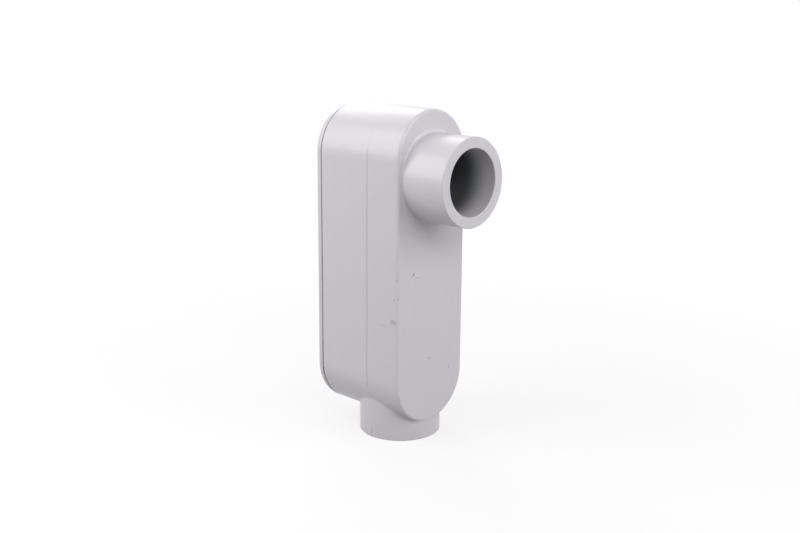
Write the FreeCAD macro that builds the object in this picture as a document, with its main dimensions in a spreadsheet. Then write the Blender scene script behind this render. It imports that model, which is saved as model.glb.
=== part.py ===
"""LB conduit body in moulded PVC, trade size 1/2 in, with a screwed and gasketed cover.

Millimetres. The origin is the centre of the end hub's mouth. +Z runs up along the end hub's axis and
the body, +X out along the back hub's axis, and Y is the width. The mould parts in the plane X = 0.
"""
import FreeCAD, Part
import math
import os
import Sketcher
from FreeCAD import Placement, Rotation, Vector

# Driving sizes, in millimetres and degrees.
SIZES = {
    # sockets for rigid PVC conduit of 21.34 mm outside diameter
    "socket_radius": 10.8,
    "socket_depth": 19.4,
    "stop_hole_radius": 7.9,
    "stop_thickness": 2.0,
    # end hub, at the bottom
    "end_hub_wall": 3.0,
    "end_hub_reach": 5.85,
    "end_hub_blend": 1.6,
    # back hub, near the top
    "back_hub_wall": 3.55,
    "back_hub_reach": 17.05,
    "back_hub_drop": 21.95,
    "root_height": 0.9,
    "root_spread": 0.9,
    "root_lift": 0.5,
    "root_margin": 0.08,
    # moulded box between the hubs
    "half_width": 16.0,
    "body_length": 104.75,
    "body_depth": 35.4,
    "flush_step": 0.02,
    "wall": 2.8,
    "draft_angle": 0.75,
    "back_edge_radius": 0.9,
    "mouth_chamfer": 0.2,
    "socket_chamfer": 0.15,
    # screw bosses inside the box
    "screw_inset": 6.0,
    "boss_radius": 3.6,
    "boss_length": 12.0,
    "screw_tip_gap": 0.5,
    # cover and gasket
    "joint_gap": 0.45,
    "cover_thickness": 2.15,
    "cover_chamfer": 0.6,
    "gasket_margin": 1.3,
    "gasket_width": 3.3,
    "gasket_recess": 0.75,
    "gasket_clearance": 0.1,
    # cover screws, number 6 pan heads
    "screw_radius": 1.75,
    "screw_length": 9.5,
    "screw_tip_chamfer": 0.4,
    "screw_clearance": 0.05,
    "cover_hole_clearance": 0.25,
    "head_radius": 3.45,
    "head_height": 2.0,
    "head_chamfer": 0.7,
    "slot_width": 0.9,
    "slot_depth": 0.9,
    "upper_slot_turn": 20.0,
    "lower_slot_turn": -38.0,
}

# Places worked out from the driving sizes, as expressions for the features.
BACK_FACE = "(sizes.socket_radius + sizes.end_hub_wall + sizes.flush_step)"
RIM = f"({BACK_FACE} - sizes.body_depth)"
COVER_INNER = f"({RIM} - sizes.joint_gap)"
COVER_OUTER = f"({COVER_INNER} - sizes.cover_thickness)"
BACK_MOUTH = f"({BACK_FACE} + sizes.back_hub_reach)"
BODY_TOP = "(sizes.end_hub_reach + sizes.body_length)"
BACK_HUB_HEIGHT = f"({BODY_TOP} - sizes.back_hub_drop)"
LOW_CENTRE = "(sizes.end_hub_reach + sizes.half_width)"
HIGH_CENTRE = f"({BODY_TOP} - sizes.half_width)"
END_HUB_RADIUS = "(sizes.socket_radius + sizes.end_hub_wall)"
BACK_HUB_RADIUS = "(sizes.socket_radius + sizes.back_hub_wall)"
HUB_CORE = "(sizes.socket_depth + sizes.stop_thickness)"
LOWER_SCREW = "(sizes.end_hub_reach + sizes.screw_inset)"
UPPER_SCREW = f"({BODY_TOP} - sizes.screw_inset)"
DRAFT = f"({BACK_FACE} * tan(sizes.draft_angle * 1 deg))"
FLAT_HALF_WIDTH = f"(sizes.half_width - {DRAFT} - sizes.back_edge_radius)"
LOWER_BOSS_LENGTH = f"(-{END_HUB_RADIUS} - {RIM})"
SCREW_REACH = "(sizes.screw_length - sizes.cover_thickness - sizes.joint_gap)"
BOSS_HOLE_RADIUS = "(sizes.screw_radius + sizes.screw_clearance)"
COVER_HOLE_RADIUS = "(sizes.screw_radius + sizes.cover_hole_clearance)"

ROOT_SECTIONS = 8
NEAR = 1e-3

os.makedirs("parts", exist_ok=True)
doc = FreeCAD.newDocument("conduit_body")
sheet = doc.addObject("Spreadsheet::Sheet", "sizes")
for row, (alias, size) in enumerate(SIZES.items(), start=1):
    sheet.set(f"A{row}", alias)
    sheet.set(f"B{row}", str(size))
    sheet.setAlias(f"B{row}", alias)
doc.recompute()


def number(expression):
    """The present value of an expression on the sheet."""
    return float(sheet.evalExpression(expression))


def new_body(name):
    body = doc.addObject("PartDesign::Body", name)
    body.Label = name
    return body


def new_sketch(body, name, role, offset=None):
    """A sketch on one of the body's origin planes, moved along its normal by an expression."""
    sketch = body.newObject("Sketcher::SketchObject", name)
    plane = next(f for f in body.Origin.OriginFeatures if f.Role == role)
    sketch.AttachmentSupport = [(plane, "")]
    sketch.MapMode = "FlatFace"
    if offset:
        sketch.setExpression("AttachmentOffset.Base.z", offset)
    return sketch


def constrain(sketch, kind, *geometry, size=None):
    """Adds a constraint; with a size it is a dimension bound to that expression."""
    if size is None:
        sketch.addConstraint(Sketcher.Constraint(kind, *geometry))
    else:
        index = sketch.addConstraint(Sketcher.Constraint(kind, *geometry, number(size)))
        sketch.setExpression(f"Constraints[{index}]", size)


def add_stadium(sketch, inset="0"):
    """The round-ended outline of the box, drawn a given distance inside its own edge."""
    radius = f"(sizes.half_width - {inset})"
    r, low, high = number(radius), number(LOW_CENTRE), number(HIGH_CENTRE)
    axis, half_turn = Vector(0, 0, 1), math.pi
    low_circle = Part.Circle(Vector(0, low), axis, r)
    high_circle = Part.Circle(Vector(0, high), axis, r)
    bottom = sketch.addGeometry(Part.ArcOfCircle(low_circle, half_turn, 2 * half_turn))
    right = sketch.addGeometry(Part.LineSegment(Vector(r, low), Vector(r, high)))
    top = sketch.addGeometry(Part.ArcOfCircle(high_circle, 0, half_turn))
    left = sketch.addGeometry(Part.LineSegment(Vector(-r, high), Vector(-r, low)))
    for first, second in ((bottom, right), (right, top), (top, left), (left, bottom)):
        constrain(sketch, "Tangent", first, 2, second, 1)
    for arc, centre in ((bottom, LOW_CENTRE), (top, HIGH_CENTRE)):
        constrain(sketch, "PointOnObject", arc, 3, -2)
        constrain(sketch, "DistanceY", -1, 1, arc, 3, size=centre)
        constrain(sketch, "Radius", arc, size=radius)


def add_circle(sketch, radius, height="0"):
    """A circle on the sketch's vertical axis, at a height above the origin."""
    centre = Vector(0, number(height))
    circle = sketch.addGeometry(Part.Circle(centre, Vector(0, 0, 1), number(radius)))
    constrain(sketch, "Radius", circle, size=radius)
    if height == "0":
        constrain(sketch, "Coincident", circle, 3, -1, 1)
    else:
        constrain(sketch, "PointOnObject", circle, 3, -2)
        constrain(sketch, "DistanceY", -1, 1, circle, 3, size=height)


def add_section(sketch, corners):
    """A closed line through corners given as pairs of expressions; "0" puts one on an axis."""
    points = [Vector(number(x), number(y)) for x, y in corners]
    lines = [sketch.addGeometry(Part.LineSegment(a, b)) for a, b in zip(points, points[1:] + points[:1])]
    for line, (x, y) in zip(lines, corners):
        constrain(sketch, "Coincident", line, 1, lines[line - 1], 2)
        for kind, place, axis in (("DistanceX", x, -2), ("DistanceY", y, -1)):
            if place == "0":
                constrain(sketch, "PointOnObject", line, 1, axis)
            else:
                constrain(sketch, kind, -1, 1, line, 1, size=place)


def extrude(body, kind, name, sketch, length, reverse=False):
    """A Pad or Pocket of a sketch, checked to add or to cut."""
    before = body.Shape.Volume if body.Tip else 0.0
    feature = body.newObject(f"PartDesign::{kind}", name)
    feature.Profile = sketch
    feature.Reversed = reverse
    feature.setExpression("Length", length)
    doc.recompute()
    change = body.Shape.Volume - before
    if (change > 0) != (kind == "Pad"):
        raise RuntimeError(f"{name} changes the volume by {change:.1f} mm3")


def dress_edges(body, kind, name, test, size_property, size):
    """Adds a Fillet or Chamfer on the edges of the body's present shape that pass the test."""
    base = body.Tip
    names = [f"Edge{i}" for i, edge in enumerate(base.Shape.Edges, start=1) if test(edge)]
    if not names:
        raise RuntimeError(f"{name} finds no edge")
    feature = body.newObject(f"PartDesign::{kind}", name)
    feature.Base = (base, names)
    feature.setExpression(size_property, size)
    doc.recompute()
    if "Invalid" in feature.State or feature.Shape.isNull():
        raise RuntimeError(f"{name} fails on {names}")


def round_edges(body, name, test, radius):
    dress_edges(body, "Fillet", name, test, "Radius", radius)


def chamfer_edges(body, name, test, size):
    dress_edges(body, "Chamfer", name, test, "Size", size)


def flat_at(edge, axis, place):
    """True where an edge lies in the plane across an axis at a place."""
    box = edge.BoundBox
    low, high = getattr(box, f"{axis}Min"), getattr(box, f"{axis}Max")
    return abs(low - place) < NEAR and abs(high - place) < NEAR


def round_at(edge, radius):
    """True where an edge is an arc or circle of a radius."""
    return isinstance(edge.Curve, Part.Circle) and abs(edge.Curve.Radius - radius) < NEAR


def add_ellipse(sketch, half_width, half_height, centre):
    """An upright ellipse, or the circle that it is where both halves are the same."""
    a, b, height = number(half_height), number(half_width), number(centre)
    if a - b < NEAR:
        add_circle(sketch, half_width, centre)
        return
    middle = Vector(0, height)
    ellipse = sketch.addGeometry(Part.Ellipse(middle + Vector(0, a), middle + Vector(b, 0), middle))
    sketch.exposeInternalGeometry(ellipse)
    upright, level = ellipse + 1, ellipse + 2
    constrain(sketch, "PointOnObject", ellipse, 3, -2)
    constrain(sketch, "DistanceY", -1, 1, ellipse, 3, size=centre)
    constrain(sketch, "Vertical", upright)
    constrain(sketch, "Distance", upright, size=f"2 * {half_height}")
    constrain(sketch, "Distance", level, size=f"2 * {half_width}")


def add_root_flare(body):
    """The back hub's root: a quarter round, fuller above the hub and narrower at its sides."""
    side_spread = f"({FLAT_HALF_WIDTH} - sizes.root_margin - {BACK_HUB_RADIUS})"
    sections = []
    for step in range(ROOT_SECTIONS):
        angle = 90 - 90 * step / (ROOT_SECTIONS - 1)
        place = f"{BACK_FACE} + sizes.root_height * (1 - sin({angle} deg))"
        section = new_sketch(body, f"root_section_{step}", "YZ_Plane", place)
        spread = f"(1 - cos({angle} deg))"
        half_width = f"({BACK_HUB_RADIUS} + {side_spread} * {spread})"
        half_height = f"({BACK_HUB_RADIUS} + sizes.root_spread * {spread})"
        centre = f"({BACK_HUB_HEIGHT} + sizes.root_lift * {spread})"
        add_ellipse(section, half_width, half_height, centre)
        sections.append(section)
    doc.recompute()
    flare = body.newObject("PartDesign::AdditiveLoft", "back_hub_root")
    flare.Profile = sections[0]
    flare.Sections = sections[1:]
    flare.Ruled = True
    doc.recompute()


def make_moulded_body():
    body = new_body("moulded_body")
    back, mouth = number(BACK_FACE), number(BACK_MOUTH)
    end_radius, socket_radius = number(END_HUB_RADIUS), number("sizes.socket_radius")
    half_width, wall, low_centre = (number(e) for e in ("sizes.half_width", "sizes.wall", LOW_CENTRE))

    # The box: straight from the parting plane to the rim, drafted from there to the back face.
    outline = new_sketch(body, "parting_outline", "YZ_Plane")
    add_stadium(outline)
    box = body.newObject("PartDesign::Pad", "box")
    box.Profile = outline
    box.SideType = "Two sides"
    box.setExpression("Length", BACK_FACE)
    box.setExpression("TaperAngle", "-sizes.draft_angle")
    box.setExpression("Length2", f"-{RIM}")
    doc.recompute()
    round_edges(body, "back_edge", lambda edge: flat_at(edge, "X", back), "sizes.back_edge_radius")
    chamber = new_sketch(body, "chamber_outline", "YZ_Plane", RIM)
    add_stadium(chamber, "sizes.wall")
    extrude(body, "Pocket", "wiring_chamber", chamber, "sizes.body_depth - sizes.wall", reverse=True)

    # The end hub runs on inside the box as a sleeve, to the far side of its conduit stop.
    end_hub = new_sketch(body, "end_hub_outline", "XY_Plane")
    add_circle(end_hub, END_HUB_RADIUS)
    extrude(body, "Pad", "end_hub", end_hub, HUB_CORE)

    def where_end_hub_leaves(edge):
        """True on the closed line where the end hub's outer wall leaves the round end of the box."""
        middle = edge.valueAt((edge.FirstParameter + edge.LastParameter) / 2)
        on_hub = abs(math.hypot(middle.x, middle.y) - end_radius) < NEAR
        outside = math.hypot(middle.y, middle.z - low_centre) > half_width - wall / 2
        return on_hub and outside and edge.BoundBox.ZMin > NEAR

    round_edges(body, "end_hub_root", where_end_hub_leaves, "sizes.end_hub_blend")
    bevel = new_sketch(body, "end_hub_bevel", "XZ_Plane")
    add_section(bevel, (
        (f"({END_HUB_RADIUS} - 2 * sizes.mouth_chamfer)", "(-sizes.mouth_chamfer)"),
        (f"({END_HUB_RADIUS} + sizes.mouth_chamfer)", "(-sizes.mouth_chamfer)"),
        (f"({END_HUB_RADIUS} + sizes.mouth_chamfer)", "(2 * sizes.mouth_chamfer)"),
    ))
    end_hub_edge = body.newObject("PartDesign::Groove", "end_hub_edge")
    end_hub_edge.Profile = bevel
    end_hub_edge.ReferenceAxis = (bevel, ["V_Axis"])
    doc.recompute()

    # The back hub: a collar inside the box that holds its stop, the root outside, then the hub itself.
    collar = new_sketch(body, "back_collar_outline", "YZ_Plane", f"{BACK_MOUTH} - {HUB_CORE}")
    add_circle(collar, BACK_HUB_RADIUS, BACK_HUB_HEIGHT)
    extrude(body, "Pad", "back_collar", collar, f"{HUB_CORE} - sizes.back_hub_reach - sizes.wall / 2")
    add_root_flare(body)
    back_hub = new_sketch(body, "back_hub_outline", "YZ_Plane", f"{BACK_FACE} + sizes.root_height")
    add_circle(back_hub, BACK_HUB_RADIUS, BACK_HUB_HEIGHT)
    extrude(body, "Pad", "back_hub", back_hub, "sizes.back_hub_reach - sizes.root_height")
    chamfer_edges(body, "back_hub_edge", lambda edge: flat_at(edge, "X", mouth), "sizes.mouth_chamfer")

    # Screw bosses stand on the round ends; the lower one ends on the end hub's sleeve.
    lower_boss = new_sketch(body, "lower_boss_outline", "YZ_Plane", RIM)
    add_circle(lower_boss, "sizes.boss_radius", LOWER_SCREW)
    extrude(body, "Pad", "lower_boss", lower_boss, f"{LOWER_BOSS_LENGTH} + sizes.end_hub_wall / 2")
    upper_boss = new_sketch(body, "upper_boss_outline", "YZ_Plane", RIM)
    add_circle(upper_boss, "sizes.boss_radius", UPPER_SCREW)
    extrude(body, "Pad", "upper_boss", upper_boss, "sizes.boss_length")
    holes = new_sketch(body, "screw_hole_outline", "YZ_Plane", RIM)
    for height in (LOWER_SCREW, UPPER_SCREW):
        add_circle(holes, BOSS_HOLE_RADIUS, height)
    extrude(body, "Pocket", "screw_holes", holes, SCREW_REACH + " + sizes.screw_tip_gap", reverse=True)

    # Sockets, each with a smaller hole past its stop.
    end_socket = new_sketch(body, "end_socket_outline", "XY_Plane")
    add_circle(end_socket, "sizes.socket_radius")
    extrude(body, "Pocket", "end_socket", end_socket, "sizes.socket_depth", reverse=True)
    end_way = new_sketch(body, "end_way_outline", "XY_Plane")
    add_circle(end_way, "sizes.stop_hole_radius")
    extrude(body, "Pocket", "end_way", end_way, HUB_CORE, reverse=True)
    back_socket = new_sketch(body, "back_socket_outline", "YZ_Plane", BACK_MOUTH)
    add_circle(back_socket, "sizes.socket_radius", BACK_HUB_HEIGHT)
    extrude(body, "Pocket", "back_socket", back_socket, "sizes.socket_depth")
    back_way = new_sketch(body, "back_way_outline", "YZ_Plane", BACK_MOUTH)
    add_circle(back_way, "sizes.stop_hole_radius", BACK_HUB_HEIGHT)
    extrude(body, "Pocket", "back_way", back_way, f"max({HUB_CORE}; sizes.back_hub_reach + sizes.wall)")

    def where_socket_opens(edge):
        return round_at(edge, socket_radius) and (flat_at(edge, "Z", 0.0) or flat_at(edge, "X", mouth))

    chamfer_edges(body, "socket_edges", where_socket_opens, "sizes.socket_chamfer")
    return body


def make_cover():
    body = new_body("cover")
    outer = number(COVER_OUTER)
    plate = new_sketch(body, "cover_outline", "YZ_Plane", COVER_OUTER)
    add_stadium(plate)
    extrude(body, "Pad", "plate", plate, "sizes.cover_thickness")
    chamfer_edges(body, "cover_edge", lambda edge: flat_at(edge, "X", outer), "sizes.cover_chamfer")
    seat = new_sketch(body, "gasket_seat_outline", "YZ_Plane", COVER_INNER)
    add_stadium(seat, "sizes.gasket_margin")
    extrude(body, "Pocket", "gasket_seat", seat, "sizes.gasket_recess")
    holes = new_sketch(body, "cover_hole_outline", "YZ_Plane", COVER_OUTER)
    for height in (LOWER_SCREW, UPPER_SCREW):
        add_circle(holes, COVER_HOLE_RADIUS, height)
    extrude(body, "Pocket", "cover_holes", holes, "sizes.cover_thickness", reverse=True)
    return body


def make_gasket():
    """A die-cut ring with an eye round each screw, clamped between the rim and the cover."""
    body = new_body("gasket")
    outer_inset = "(sizes.gasket_margin + sizes.gasket_clearance)"
    thickness = "(sizes.joint_gap + sizes.gasket_recess)"
    ring = new_sketch(body, "ring_outline", "YZ_Plane", RIM)
    add_stadium(ring, outer_inset)
    add_stadium(ring, f"({outer_inset} + sizes.gasket_width)")
    extrude(body, "Pad", "ring", ring, thickness, reverse=True)
    eyes = new_sketch(body, "eye_outline", "YZ_Plane", RIM)
    for height in (LOWER_SCREW, UPPER_SCREW):
        add_circle(eyes, "sizes.boss_radius", height)
    extrude(body, "Pad", "eyes", eyes, thickness, reverse=True)
    holes = new_sketch(body, "gasket_hole_outline", "YZ_Plane", RIM)
    for height in (LOWER_SCREW, UPPER_SCREW):
        add_circle(holes, COVER_HOLE_RADIUS, height)
    extrude(body, "Pocket", "gasket_holes", holes, thickness)
    return body


def make_screw(name, height, slot_turn):
    """A slotted pan-head machine screw, modelled along +X from the underside of its head."""
    body = new_body(name)
    section = new_sketch(body, "half_section", "XZ_Plane")
    add_section(section, (
        ("sizes.screw_length", "0"),
        ("sizes.screw_length", "(sizes.screw_radius - sizes.screw_tip_chamfer)"),
        ("(sizes.screw_length - sizes.screw_tip_chamfer)", "sizes.screw_radius"),
        ("0", "sizes.screw_radius"),
        ("0", "sizes.head_radius"),
        ("(-sizes.head_height)", "sizes.head_radius"),
        ("(-sizes.head_height)", "0"),
    ))
    turned = body.newObject("PartDesign::Revolution", "turned")
    turned.Profile = section
    turned.ReferenceAxis = (section, ["H_Axis"])
    doc.recompute()
    top = -number("sizes.head_height")
    chamfer_edges(body, "head_edge", lambda edge: flat_at(edge, "X", top), "sizes.head_chamfer")

    slot = new_sketch(body, "slot_outline", "YZ_Plane", "(-sizes.head_height)")
    half_length, half_slot = "(sizes.head_radius + sizes.slot_width)", "(sizes.slot_width / 2)"
    add_section(slot, (
        (f"(-{half_length})", f"(-{half_slot})"),
        (half_length, f"(-{half_slot})"),
        (half_length, half_slot),
        (f"(-{half_length})", half_slot),
    ))
    extrude(body, "Pocket", "slot", slot, "sizes.slot_depth", reverse=True)

    body.Placement = Placement(Vector(0, 0, 0), Rotation(Vector(1, 0, 0), number(slot_turn)))
    body.setExpression("Placement.Base.x", COVER_OUTER)
    body.setExpression("Placement.Base.z", height)
    body.setExpression("Placement.Rotation.Angle", slot_turn)
    return body


subparts = (
    make_moulded_body(),
    make_cover(),
    make_gasket(),
    make_screw("upper_cover_screw", UPPER_SCREW, "sizes.upper_slot_turn"),
    make_screw("lower_cover_screw", LOWER_SCREW, "sizes.lower_slot_turn"),
)
doc.recompute()

for item in doc.Objects:
    if {"Invalid", "Error"} & set(item.State):
        raise RuntimeError(f"{item.Name} failed to recompute")
for subpart in subparts:
    shape = subpart.Shape
    if shape.isNull() or not shape.isValid() or len(shape.Solids) != 1:
        raise RuntimeError(f"{subpart.Label} is not one valid solid")
for subpart in subparts:
    subpart.Shape.exportStep(f"parts/{subpart.Label}.step")
    print(f"{subpart.Label}: {subpart.Shape.Volume:.1f} mm3")
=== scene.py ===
import math

import bmesh
import bpy
from mathutils import Matrix, Vector


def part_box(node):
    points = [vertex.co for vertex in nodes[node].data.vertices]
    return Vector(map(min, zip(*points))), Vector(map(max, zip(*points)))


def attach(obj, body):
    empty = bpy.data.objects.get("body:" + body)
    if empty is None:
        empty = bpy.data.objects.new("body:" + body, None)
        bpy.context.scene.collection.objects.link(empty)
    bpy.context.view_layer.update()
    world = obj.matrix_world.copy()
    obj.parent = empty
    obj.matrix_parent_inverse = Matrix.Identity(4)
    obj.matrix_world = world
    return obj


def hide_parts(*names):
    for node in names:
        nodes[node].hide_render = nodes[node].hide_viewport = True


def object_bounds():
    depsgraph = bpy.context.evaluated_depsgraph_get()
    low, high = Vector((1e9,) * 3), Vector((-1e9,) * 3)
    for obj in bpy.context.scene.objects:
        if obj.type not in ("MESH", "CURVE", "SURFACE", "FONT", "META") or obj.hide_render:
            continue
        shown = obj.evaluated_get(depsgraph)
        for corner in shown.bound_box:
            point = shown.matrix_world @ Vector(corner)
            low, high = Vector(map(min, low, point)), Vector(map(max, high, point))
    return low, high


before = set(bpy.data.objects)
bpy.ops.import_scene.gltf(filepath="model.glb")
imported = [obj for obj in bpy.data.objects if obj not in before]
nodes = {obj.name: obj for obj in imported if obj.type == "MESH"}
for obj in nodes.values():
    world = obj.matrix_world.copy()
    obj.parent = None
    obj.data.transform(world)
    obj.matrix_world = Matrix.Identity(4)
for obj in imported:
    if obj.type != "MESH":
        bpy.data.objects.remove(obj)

cad_low, cad_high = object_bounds()


# ---------------------------------------------------------------- shader helpers
class Graph:
    """A node tree with short ways to add and join its nodes."""

    def __init__(self, tree):
        self.tree = tree
        self.tree.nodes.clear()

    def feed(self, socket, value):
        """Joins an output to a socket, or sets a plain value on it."""
        if isinstance(value, bpy.types.NodeSocket):
            self.tree.links.new(value, socket)
        else:
            socket.default_value = value

    def fill(self, node, *values):
        """Feeds a node's inputs in their order, and gives its first output."""
        for socket, value in zip(node.inputs, values):
            self.feed(socket, value)
        return node.outputs[0]

    def node(self, kind, **values):
        """Adds a node, feeds its inputs by name, and gives its first output."""
        node = self.tree.nodes.new(kind)
        for name, value in values.items():
            self.feed(node.inputs[name], value)
        return node.outputs[0]

    def math(self, operation, a, b=0.0):
        node = self.tree.nodes.new("ShaderNodeMath")
        node.operation = operation
        return self.fill(node, a, b)

    def hypot(self, a, b):
        """How far a place is from an axis, given how far it is along two directions across it."""
        squares = self.math("ADD", self.math("MULTIPLY", a, a), self.math("MULTIPLY", b, b))
        return self.math("SQRT", squares)

    def vector(self, operation, a, b=(0.0, 0.0, 0.0)):
        node = self.tree.nodes.new("ShaderNodeVectorMath")
        node.operation = operation
        self.fill(node, a, b)
        return node.outputs["Value" if operation in ("LENGTH", "DOT_PRODUCT") else "Vector"]

    def parts(self, vector):
        node = self.tree.nodes.new("ShaderNodeSeparateXYZ")
        self.fill(node, vector)
        return node.outputs[0], node.outputs[1], node.outputs[2]

    def ramp(self, value, low, high, start=0.0, end=1.0, interpolation="SMOOTHSTEP"):
        """Maps low..high to start..end, smoothly unless told otherwise, and held level outside."""
        node = self.tree.nodes.new("ShaderNodeMapRange")
        node.interpolation_type = interpolation
        return self.fill(node, value, low, high, start, end)

    def mix_shaders(self, amount, first, second):
        return self.fill(self.tree.nodes.new("ShaderNodeMixShader"), amount, first, second)

    def looked_at(self):
        """1 where a place is seen, also mirrored or through something clear, and 0 for its light."""
        rays = self.tree.nodes.new("ShaderNodeLightPath").outputs
        seen = self.math("MAXIMUM", rays["Is Camera Ray"], rays["Is Glossy Ray"])
        return self.math("MAXIMUM", seen, rays["Is Transmission Ray"])


class Surface(Graph):
    """A material with one principled shader."""

    def __init__(self, name):
        self.material = bpy.data.materials.new(name)
        self.material.use_nodes = True
        super().__init__(self.material.node_tree)
        self.output = self.tree.nodes.new("ShaderNodeOutputMaterial")
        self.shader = self.tree.nodes.new("ShaderNodeBsdfPrincipled")
        self.feed(self.output.inputs["Surface"], self.shader.outputs[0])
        self.place = self.tree.nodes.new("ShaderNodeTexCoord").outputs["Object"]

    def noise(self, scale, detail=2.0, roughness=0.5):
        return self.node("ShaderNodeTexNoise", Vector=self.place,
                         Scale=scale, Detail=detail, Roughness=roughness)

    def mix(self, amount, first, second):
        """Mixes two colours. The node's inputs 6 and 7 and its output 2 are the ones for colours."""
        node = self.tree.nodes.new("ShaderNodeMix")
        node.data_type = "RGBA"
        for index, value in ((0, amount), (6, first), (7, second)):
            self.feed(node.inputs[index], value)
        return node.outputs[2]

    def bump(self, height, distance, strength, normal=None):
        """A relief with its distance in metres, over another normal if one is given."""
        over = {} if normal is None else {"Normal": normal}
        return self.node("ShaderNodeBump", Strength=strength, Distance=distance, Height=height, **over)

    def rounded(self, radius):
        """The normal with every sharp edge rounded off by a small radius."""
        node = self.tree.nodes.new("ShaderNodeBevel")
        node.samples = 6
        node.inputs["Radius"].default_value = radius
        return node.outputs[0]

    def true_normal(self):
        return self.tree.nodes.new("ShaderNodeNewGeometry").outputs["Normal"]

    def set(self, **values):
        names = {"color": "Base Color", "roughness": "Roughness", "metallic": "Metallic",
                 "normal": "Normal", "ior": "IOR", "specular": "Specular IOR Level"}
        for key, value in values.items():
            self.feed(self.shader.inputs[names[key]], value)


def give(obj, material):
    obj.data.materials.clear()
    obj.data.materials.append(material)


# ---------------------------------------------------------------- materials
PVC = (0.606, 0.588, 0.624, 1.0)
PVC_WORN = (0.566, 0.548, 0.582, 1.0)
# Lighter tone along the edges: partly wear, partly a painted highlight.
PVC_EDGE_WEAR_AND_HIGHLIGHT = (0.680, 0.664, 0.695, 1.0)
GRIME = (0.235, 0.225, 0.235, 1.0)
PARTING = (0.36, 0.35, 0.375, 1.0)
# Painted shade for deep in the sockets and the chamber.
PAINTED_SHADE = (0.105, 0.111, 0.112, 1.0)

# The PVC's roughness, lowest and highest. Under 0.28 the renders showed outlines and dashes on it.
PVC_ROUGHNESS = (0.28, 0.31)
EDGE_RADIUS = 0.00022
GRAIN_RELIEF, GRAIN_STRENGTH = 0.000002, 0.10

# The moulding's hollows, which get painted shade inside. The bores reach in to X = BACK_BORE_TO and up to Z =
# END_BORE_TO;
# DARK_FROM and DARK_FULL are how deep in from a mouth the painted shade sets in and is full. All in metres.
BORE, BACK_AXIS, BACK_MOUTH = 0.0110, 0.08865, 0.03087
BACK_BORE_TO, END_BORE_TO = 0.009, 0.0215
LOW_CENTRE, HIGH_CENTRE = 0.02185, 0.09460
CHAMBER_RADIUS, CHAMBER_BACK = 0.01335, 0.0112
DARK_FROM, DARK_FULL = 0.0025, 0.0125

# The parting line lies at X = 0: how far from there it is full and gone, and the heights between which it
# fades out at the top of the body, sets in above the end hub, and fades out above the end hub's mouth.
LINE_FULL, LINE_GONE = 0.00007, 0.00027
LINE_TOP, LINE_SETS_IN, LINE_MOUTH = (0.0955, 0.1005), (0.0165, 0.0200), (0.0030, 0.0048)
LINE_TOP_SHARE, LINE_COLOR_SHARE = 0.12, 0.72
LINE_RELIEF, LINE_STRENGTH = 0.00012, 0.55

# Marks on the moulding, each a place in metres, its half sizes along X, Y and Z, and how dark it is.
MARKS = (
    ((0.01382, -0.00840, 0.05786), (0.0004, 0.00055, 0.00045), 0.75),
    ((0.01382, -0.00641, 0.05650), (0.0004, 0.00040, 0.00032), 0.45),
    ((0.01328, -0.01575, 0.05694), (0.0004, 0.00050, 0.00035), 0.35),
    ((0.01244, -0.01584, 0.05049), (0.0004, 0.00040, 0.00035), 0.45),
    ((0.01371, -0.01536, 0.05095), (0.0004, 0.00040, 0.00030), 0.40),
    ((0.01206, -0.01584, 0.04292), (0.0014, 0.00060, 0.00095), 0.42),
    ((0.00744, -0.01590, 0.04096), (0.0018, 0.00060, 0.00060), 0.16),
    ((0.01382, -0.00065, 0.02805), (0.0004, 0.00050, 0.00045), 0.50),
    ((0.01382, 0.00946, 0.02314), (0.0004, 0.00022, 0.00110), 0.35),
)
MARK_RAGGED, MARK_ROUGHNESS = 1.7, 0.15


def painted_shade_inside(g, x, y, z):
    """How much painted shade a place gets: 0 near the mouths of the sockets, and 1 deep inside them and in the
    chamber.
    """
    in_back = g.math("LESS_THAN", g.hypot(y, g.math("SUBTRACT", z, BACK_AXIS)), BORE)
    in_back = g.math("MULTIPLY", in_back, g.math("GREATER_THAN", x, BACK_BORE_TO))
    back_dark = g.ramp(g.math("SUBTRACT", BACK_MOUTH, x), DARK_FROM, DARK_FULL)
    in_end = g.math("LESS_THAN", g.hypot(x, y), BORE)
    in_end = g.math("MULTIPLY", in_end, g.math("LESS_THAN", z, END_BORE_TO))
    end_dark = g.ramp(z, DARK_FROM, DARK_FULL)
    middle_z = g.math("MINIMUM", g.math("MAXIMUM", z, LOW_CENTRE), HIGH_CENTRE)
    off_middle = g.hypot(y, g.math("SUBTRACT", z, middle_z))
    chamber = g.math("MULTIPLY", g.math("LESS_THAN", off_middle, CHAMBER_RADIUS),
                     g.math("LESS_THAN", x, CHAMBER_BACK))
    sockets = g.math("MAXIMUM", g.math("MULTIPLY", in_back, back_dark),
                     g.math("MULTIPLY", in_end, end_dark))
    return g.math("MAXIMUM", sockets, chamber)


def parting_line(g, x, z):
    """How much of the mould's parting line a place shows."""
    line = g.math("SUBTRACT", 1.0, g.ramp(g.math("ABSOLUTE", x), LINE_FULL, LINE_GONE))
    on_body, on_hub = g.ramp(z, *LINE_SETS_IN), g.ramp(z, *LINE_MOUTH, 1.0, 0.0)
    top = g.ramp(z, *LINE_TOP, 1.0, LINE_TOP_SHARE)
    return g.math("MULTIPLY", line, g.math("MULTIPLY", top, g.math("ADD", on_body, on_hub)))


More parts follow.
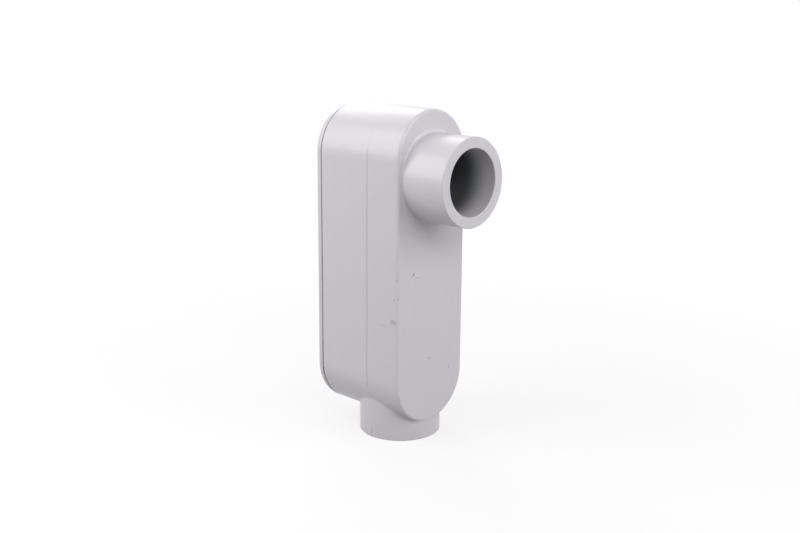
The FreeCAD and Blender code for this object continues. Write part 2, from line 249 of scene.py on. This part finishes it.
def pvc_material(name, moulding, marks):
    """The grey PVC, lighter along its edges from wear and a painted highlight. The moulding also has the
    parting line, and painted shade inside.
    """
    g = Surface(name)
    x, y, z = g.parts(g.place)
    mottle = g.noise(420.0, 5.0, 0.65)
    grain = g.noise(1900.0, 1.0, 0.5)
    color = g.mix(g.ramp(mottle, 0.30, 0.70, 0.0, 0.24), PVC, PVC_WORN)
    rounded = g.rounded(EDGE_RADIUS)
    # Lighter along the sharp edges: partly wear, partly a painted highlight.
    edge_wear_and_highlight = g.ramp(g.vector("DOT_PRODUCT", rounded, g.true_normal()), 0.90, 0.995, 0.30, 0.0)
    color = g.mix(edge_wear_and_highlight, color, PVC_EDGE_WEAR_AND_HIGHLIGHT)
    roughness = g.ramp(mottle, 0.25, 0.75, *PVC_ROUGHNESS)
    normal = g.bump(grain, GRAIN_RELIEF, GRAIN_STRENGTH, rounded)
    if moulding:
        line = parting_line(g, x, z)
        color = g.mix(g.math("MULTIPLY", line, LINE_COLOR_SHARE), color, PARTING)
        normal = g.bump(line, LINE_RELIEF, LINE_STRENGTH, normal)
    for place, half, depth in marks:
        distance = g.vector("LENGTH", g.vector("DIVIDE", g.vector("SUBTRACT", g.place, place), half))
        ragged = g.math("MULTIPLY", g.math("SUBTRACT", g.noise(1500.0, 3.0, 0.6), 0.5), MARK_RAGGED)
        spot = g.ramp(g.math("ADD", distance, ragged), 0.65, 1.15, depth, 0.0)
        color = g.mix(spot, color, GRIME)
        roughness = g.math("ADD", roughness, g.math("MULTIPLY", spot, MARK_ROUGHNESS))
    if moulding:
        # Painted shade, deepening into the sockets and the chamber.
        color = g.mix(painted_shade_inside(g, x, y, z), color, PAINTED_SHADE)
    g.set(color=color, roughness=roughness, normal=normal, ior=1.53, specular=0.5)
    return g.material


pvc_body = pvc_material("pvc_moulding", True, MARKS)
pvc_cover = pvc_material("pvc_cover", False, ())

rubber = Surface("gasket_rubber")
rubber_grain = rubber.noise(1800.0, 3.0, 0.6)
rubber.set(color=rubber.mix(rubber_grain, (0.018, 0.018, 0.019, 1.0), (0.045, 0.044, 0.043, 1.0)),
           roughness=rubber.ramp(rubber.noise(400.0), 0.2, 0.8, 0.62, 0.85),
           normal=rubber.bump(rubber_grain, 0.00005, 0.5), specular=0.15)

steel = Surface("screw_steel")
steel_scuff = steel.noise(900.0, 4.0, 0.65)
steel_worn = steel.ramp(steel_scuff, 0.35, 0.7)
steel.set(color=steel.mix(steel_worn, (0.62, 0.61, 0.60, 1.0), (0.46, 0.45, 0.43, 1.0)),
          metallic=1.0,
          roughness=steel.ramp(steel_scuff, 0.25, 0.75, 0.22, 0.42),
          normal=steel.bump(steel.noise(3000.0, 2.0), 0.00002, 0.4))

give(nodes["moulded_body"], pvc_body)


# ---------------------------------------------------------------- pieces made as mesh
def smooth(mesh):
    for polygon in mesh.polygons:
        polygon.use_smooth = True


def link(name, bm, material):
    """A new smooth object from a bmesh, with its normals put right."""
    bmesh.ops.recalc_face_normals(bm, faces=bm.faces)
    mesh = bpy.data.meshes.new(name)
    bm.to_mesh(mesh)
    bm.free()
    smooth(mesh)
    obj = bpy.data.objects.new(name, mesh)
    bpy.context.scene.collection.objects.link(obj)
    give(obj, material)
    return obj


def outline(half_width, low, high, inset, steps=40):
    """Points in Y and Z round a round-ended outline, a distance inside its edge."""
    r = half_width - inset
    low_z, high_z = low + half_width, high - half_width
    points = []
    for centre, start in ((low_z, math.pi), (high_z, 0.0)):
        for step in range(steps + 1):
            angle = start + math.pi * step / steps
            points.append((r * math.cos(angle), centre + r * math.sin(angle)))
    return points


def circle(x, centre_z, radius, steps=48):
    """Points round an axis along X."""
    angles = [2 * math.pi * k / steps for k in range(steps)]
    return [(x, radius * math.cos(angle), centre_z + radius * math.sin(angle)) for angle in angles]


def loft(bm, rings, closed=False):
    """Joins rings of points with faces. If closed the last joins the first; otherwise both ends are capped."""
    rows = [[bm.verts.new(p) for p in ring] for ring in rings]
    count = len(rows[0])
    pairs = list(zip(rows, rows[1:])) + ([(rows[-1], rows[0])] if closed else [])
    for first, second in pairs:
        for k in range(count):
            m = (k + 1) % count
            bm.faces.new((first[k], first[m], second[m], second[k]))
    if not closed:
        bm.faces.new(rows[0])
        bm.faces.new(list(reversed(rows[-1])))


def cut(obj, bm):
    """Cuts a closed tool mesh out of obj."""
    tool = link("tool", bm, obj.data.materials[0])
    modifier = obj.modifiers.new("cut", "BOOLEAN")
    modifier.operation = "DIFFERENCE"
    modifier.solver = "EXACT"
    modifier.object = tool
    made = bpy.data.meshes.new_from_object(obj.evaluated_get(bpy.context.evaluated_depsgraph_get()))
    obj.modifiers.clear()
    old = obj.data
    obj.data = made
    bpy.data.meshes.remove(old)
    bpy.data.objects.remove(tool)


def crisp(obj, degrees):
    """Smooth shading, except across edges sharper than an angle."""
    obj.data.set_sharp_from_angle(angle=math.radians(degrees))


def round_profile(depth_start, depth_end, inset_start, inset_end, steps=6):
    """A quarter round between two places of a profile of (x, inset), from level to upright."""
    profile = []
    for step in range(steps + 1):
        angle = math.pi / 2 * step / steps
        profile.append((depth_start + (depth_end - depth_start) * (1 - math.cos(angle)),
                        inset_start + (inset_end - inset_start) * math.sin(angle)))
    return profile


cover_low, cover_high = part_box("cover")
gasket_low, gasket_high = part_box("gasket")
half_width = cover_high.y

# Sizes are in metres and angles in degrees. Each screw's slot has its own turn.
SCREW_TURNS = {"upper_cover_screw": 20.0, "lower_cover_screw": -38.0}
SCREW_RADIUS, SCREW_HOLE, HOLE_CHAMFER = 0.00175, 0.0020, 0.00025
GASKET_MARGIN, COVER_ROUND, COVER_CHAMFER = 0.0013, 0.0008, 0.00015
CUT_CLEARANCE = 0.001
PLATE_CREASE, SCREW_CREASE = 35, 40
screw_axes = {name: (sum(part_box(name), Vector()) / 2).z for name in SCREW_TURNS}

# The cover: a plate with a rounded outer edge, a seat for the gasket and two screw holes with broken edges.
profile = round_profile(cover_low.x, cover_low.x + COVER_ROUND, COVER_ROUND, 0.0)
profile += [(cover_high.x - COVER_CHAMFER, 0.0), (cover_high.x, COVER_CHAMFER),
            (cover_high.x, GASKET_MARGIN), (gasket_low.x, GASKET_MARGIN)]
cover_bm = bmesh.new()
loft(cover_bm, [[(x, y, z) for y, z in outline(half_width, cover_low.z, cover_high.z, inset)]
                for x, inset in profile])
cover = link("cover_plate", cover_bm, pvc_cover)
for height in screw_axes.values():
    hole_bm = bmesh.new()
    loft(hole_bm, [circle(cover_low.x - CUT_CLEARANCE, height, SCREW_HOLE + CUT_CLEARANCE + HOLE_CHAMFER),
                   circle(cover_low.x + HOLE_CHAMFER, height, SCREW_HOLE),
                   circle(cover_high.x + CUT_CLEARANCE, height, SCREW_HOLE)])
    cut(cover, hole_bm)
crisp(cover, PLATE_CREASE)
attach(cover, "lid")
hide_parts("cover")

# The gasket: as the solid, with the lip that its clamped edge squeezes out into the joint.
LIP_DEPTH, LIP_EDGE = 0.0016, 0.00004
LIP_INSET_LOW, LIP_INSET_HIGH = 0.00002, 0.00036


def lip_ring(x, set_back):
    """A ring round the gasket's lip, which stands out further towards the bottom."""
    ring = []
    low_ring, high_ring = (outline(half_width, cover_low.z, cover_high.z, inset + set_back)
                           for inset in (LIP_INSET_LOW, LIP_INSET_HIGH))
    for low_point, high_point in zip(low_ring, high_ring):
        height = (low_point[1] - cover_low.z) / (cover_high.z - cover_low.z)
        y, z = Vector(low_point).lerp(Vector(high_point), height)
        ring.append((x, y, z))
    return ring


body_rim = gasket_high.x
gap = body_rim - cover_high.x
lip_bm = bmesh.new()
lip_bm.from_mesh(nodes["gasket"].data)
lip = [(body_rim, LIP_DEPTH), (body_rim, LIP_EDGE), (body_rim - gap / 2, 0.0),
       (cover_high.x, LIP_EDGE), (cover_high.x, LIP_DEPTH)]
loft(lip_bm, [lip_ring(x, set_back) for x, set_back in lip], closed=True)
gasket = link("gasket_seal", lip_bm, rubber.material)
crisp(gasket, PLATE_CREASE)
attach(gasket, "lid")
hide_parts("gasket")

# The screws: a domed pan head with a slot, and a number 6-32 thread that runs out at the tip.
HEAD_CHAMFER, HEAD_SIDE, HEAD_SHOULDER = 0.0001, 0.0009, 0.0008
DOME_STEPS, DOME_FLAT = 8, 0.6
SLOT_WIDTH, SLOT_DEPTH, SLOT_REACH = 0.0009, 0.0009, 1.4
PITCH, ROOT_RADIUS, TIP_RADIUS = 0.000794, 0.00139, 0.00129
FLANK, CREST_GAIN, RUN_OUT = 0.42, 1.12, 0.0005
SHANK_IN_HEAD = 0.0003


def thread_rows(start, end, axis_z, around=40, per_pitch=8):
    """Rings along the thread: its crest winds round them, and it narrows over the run-out to the tip."""
    rows = []
    count = int((end - start) / PITCH * per_pitch)
    for row in range(count + 1):
        x = start + (end - start) * row / count
        run_out = min(1.0, max(0.0, (end - x) / RUN_OUT))
        limit = TIP_RADIUS + (SCREW_RADIUS - TIP_RADIUS) * run_out
        ring = []
        for k in range(around):
            angle = 2 * math.pi * k / around
            phase = ((x - start) / PITCH - angle / (2 * math.pi)) % 1.0
            crest = min(1.0, max(0.0, 1.0 - abs(phase - 0.5) / FLANK) * CREST_GAIN)
            radius = min(ROOT_RADIUS + (SCREW_RADIUS - ROOT_RADIUS) * crest, limit)
            ring.append((x, radius * math.cos(angle), axis_z + radius * math.sin(angle)))
        rows.append(ring)
    return rows


def head_profile(under, top, head_radius):
    """The head's outline as (x, radius), from under it to the flat in the middle of its dome."""
    side_top, shoulder = under - HEAD_SIDE, head_radius - HEAD_SHOULDER
    head = [(under, head_radius - HEAD_CHAMFER), (under - HEAD_CHAMFER, head_radius),
            (side_top, head_radius)]
    for step in range(1, DOME_STEPS + 1):
        angle = math.pi / 2 * step / DOME_STEPS
        head.append((side_top + (top - side_top) * math.sin(angle),
                     shoulder + (head_radius - shoulder) * math.cos(angle)))
    head.append((top, shoulder * DOME_FLAT))
    return head


for name, axis_z in screw_axes.items():
    screw_low, screw_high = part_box(name)
    head_radius = (screw_high.y - screw_low.y) / 2
    under, top = cover_low.x, screw_low.x
    head_bm = bmesh.new()
    loft(head_bm, [circle(x, axis_z, radius, 64) for x, radius in head_profile(under, top, head_radius)])
    screw = link(name + "_turned", head_bm, steel.material)
    turn = math.radians(SCREW_TURNS[name])
    along = Vector((0.0, math.cos(turn), math.sin(turn)))
    across = Vector((0.0, -math.sin(turn), math.cos(turn)))
    slot_rings = []
    for x in (top - CUT_CLEARANCE, top + SLOT_DEPTH):
        centre = Vector((x, 0.0, axis_z))
        slot_rings.append([centre + along * (a * head_radius * SLOT_REACH) + across * (b * SLOT_WIDTH / 2)
                           for a, b in ((-1, -1), (1, -1), (1, 1), (-1, 1))])
    slot_bm = bmesh.new()
    loft(slot_bm, slot_rings)
    cut(screw, slot_bm)
    shank_bm = bmesh.new()
    shank_bm.from_mesh(screw.data)
    shank_start = circle(under - SHANK_IN_HEAD, axis_z, ROOT_RADIUS, 40)
    loft(shank_bm, [shank_start] + thread_rows(under, screw_high.x, axis_z))
    shank_bm.to_mesh(screw.data)
    shank_bm.free()
    smooth(screw.data)
    crisp(screw, SCREW_CREASE)
    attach(screw, name.replace("cover_", ""))
    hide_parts(name)


# ---------------------------------------------------------------- stage
WHITE = (1.0, 1.0, 1.0, 1.0)
FLOOR_CLEARANCE = 0.0001
floor_size, floor_z = 6.0, cad_low.z - FLOOR_CLEARANCE
floor_mesh = bpy.data.meshes.new("floor")
floor_bm = bmesh.new()
corners = [(-1, -1), (1, -1), (1, 1), (-1, 1)]
floor_bm.faces.new([floor_bm.verts.new((a * floor_size, b * floor_size, floor_z)) for a, b in corners])
floor_bm.to_mesh(floor_mesh)
floor_bm.free()
floor = bpy.data.objects.new("floor", floor_mesh)
bpy.context.scene.collection.objects.link(floor)

# The floor lights the object as a grey sheet. To the eye it is white paper that keeps the shadow near the
# object and goes over to plain white further away.
sheet = Surface("floor_paper")
sheet.set(color=(0.34, 0.34, 0.345, 1.0), roughness=0.9, specular=0.0)
paper = sheet.node("ShaderNodeBsdfDiffuse", Color=(0.84, 0.84, 0.85, 1.0))
blank = sheet.node("ShaderNodeEmission", Color=WHITE, Strength=1.0)
PAPER_TO, WHITE_FROM, WHITE_SHARE = 0.04, 0.26, 0.72
plain = sheet.ramp(sheet.vector("LENGTH", sheet.place), PAPER_TO, WHITE_FROM, WHITE_SHARE, 1.0)
shown = sheet.mix_shaders(plain, paper, blank)
sheet.feed(sheet.output.inputs["Surface"],
           sheet.mix_shaders(sheet.looked_at(), sheet.shader.outputs[0], shown))
give(floor, sheet.material)

# The world lights the object as a dim dome, a little brighter from below, and is seen as plain white.
world = bpy.data.worlds.new("studio")
bpy.context.scene.world = world
world.use_nodes = True
sky = Graph(world.node_tree)
upward = sky.parts(sky.tree.nodes.new("ShaderNodeTexCoord").outputs["Generated"])[2]
dome = sky.ramp(upward, -0.4, 1.0, 0.49, 0.44, "LINEAR")
ambient = sky.node("ShaderNodeBackground", Color=(0.985, 0.985, 1.0, 1.0), Strength=dome)
white = sky.node("ShaderNodeBackground", Color=WHITE, Strength=1.0)
world_out = sky.tree.nodes.new("ShaderNodeOutputWorld")
sky.feed(world_out.inputs["Surface"], sky.mix_shaders(sky.looked_at(), ambient, white))

middle = (cad_low + cad_high) / 2


def direction(azimuth, elevation):
    a, e = math.radians(azimuth), math.radians(elevation)
    return Vector((math.sin(a) * math.cos(e), -math.cos(a) * math.cos(e), math.sin(e)))


def lamp(name, azimuth, elevation, distance, size, power):
    """A soft square lamp aimed at the middle of the object, with its distance and size in metres."""
    back = direction(azimuth, elevation)
    data = bpy.data.lights.new(name, "AREA")
    data.shape = "SQUARE"
    data.size = size
    data.energy = power
    obj = bpy.data.objects.new(name, data)
    obj.location = middle + back * distance
    obj.rotation_mode = "QUATERNION"
    obj.rotation_quaternion = (-back).to_track_quat("-Z", "Y")
    bpy.context.scene.collection.objects.link(obj)


lamp("top_softbox", 20.0, 68.0, 0.50, 0.40, 0.14)
lamp("left_softbox", -32.0, 31.0, 0.33, 0.26, 0.60)
lamp("right_softbox", 62.0, 34.0, 0.50, 0.16, 0.52)
lamp("back_softbox", 110.0, 24.0, 0.50, 0.34, 0.97)
lamp("front_softbox", -115.0, 30.0, 0.50, 0.30, 0.75)

# ---------------------------------------------------------------- camera
target = Vector((-0.00049, 0.0, 0.0569))
roll, distance = math.radians(0.43), 0.3547
back = direction(44.10, 13.04)
level = Vector((0, 0, 1)).cross(back).normalized()
upright = back.cross(level)
right = level * math.cos(roll) + upright * math.sin(roll)
up = upright * math.cos(roll) - level * math.sin(roll)
camera_data = bpy.data.cameras.new("camera")
camera_data.sensor_width = 36.0
camera_data.lens = 47.40
camera_data.clip_start, camera_data.clip_end = 0.01, 50.0
camera = bpy.data.objects.new("camera", camera_data)
camera.matrix_world = Matrix((right, up, back)).transposed().to_4x4()
camera.location = target + back * distance
bpy.context.scene.collection.objects.link(camera)
bpy.context.scene.camera = camera
bpy.context.scene.view_settings.view_transform = "Standard"
